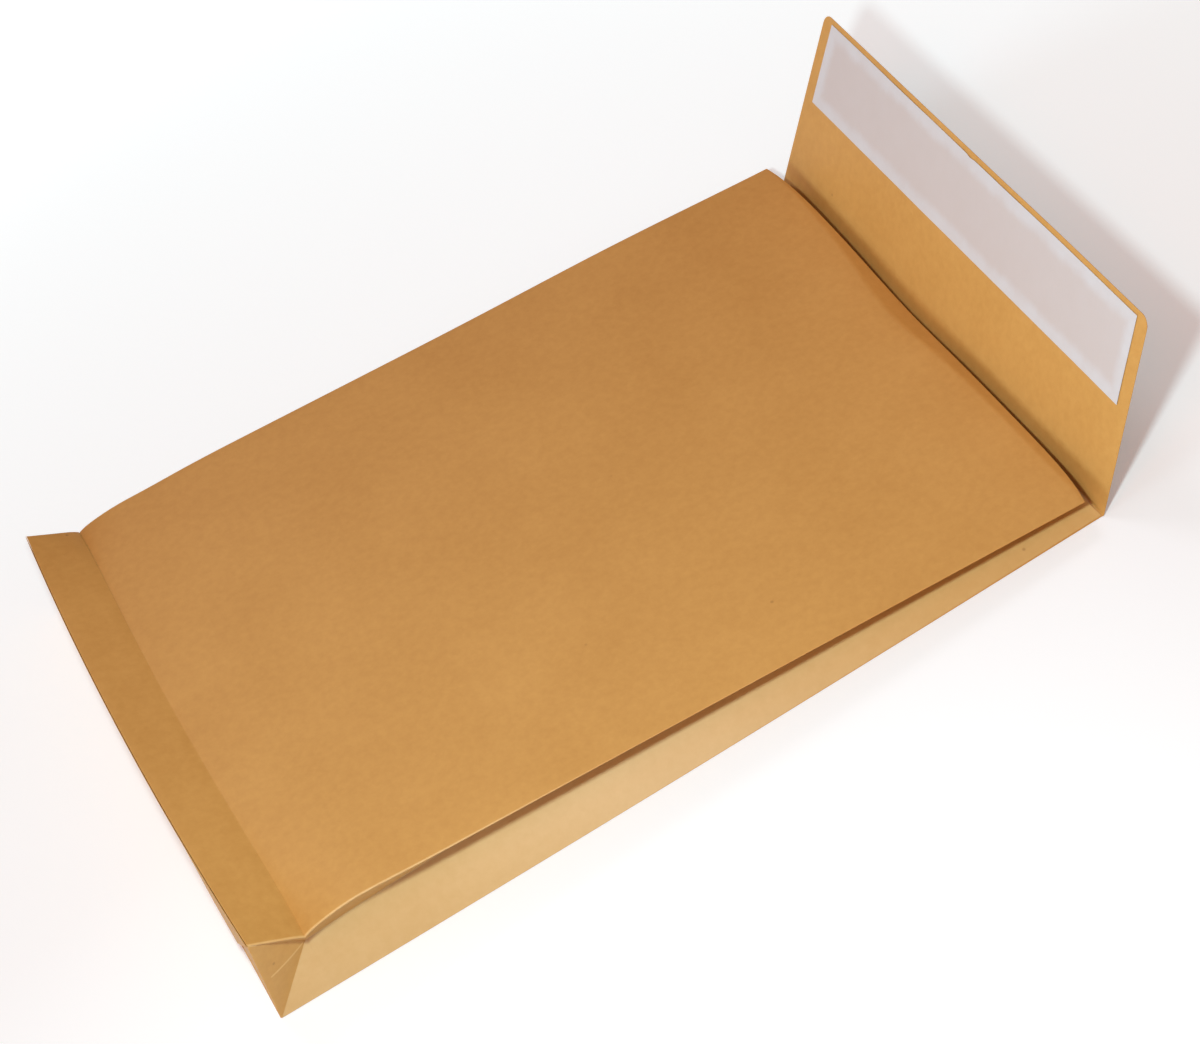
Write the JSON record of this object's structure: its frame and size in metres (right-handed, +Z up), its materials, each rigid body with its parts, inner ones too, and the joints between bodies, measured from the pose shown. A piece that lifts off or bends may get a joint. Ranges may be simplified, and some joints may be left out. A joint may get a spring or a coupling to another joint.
{
  "type": "paper envelope",
  "caption": "Brown kraft gusseted pocket envelope with a squared bottom, half sprung open on its back, its peel-and-seal flap standing up.",
  "frame": {"origin": "under the middle of the whole object, on the surface it lies on", "axes": "+X from the squared bottom to the mouth and the flap, +Y across the width to the far gusset, +Z up"},
  "size_m": [0.36, 0.229, 0.0672],
  "materials": {
    "kraft_paper": "matte",
    "adhesive": "gloss",
    "liner_paper": "satin"
  },
  "bodies": {
    "root": {"envelope": "kraft_paper", "adhesive_strip": "adhesive", "release_liner": "liner_paper"}
  },
  "joints": []
}
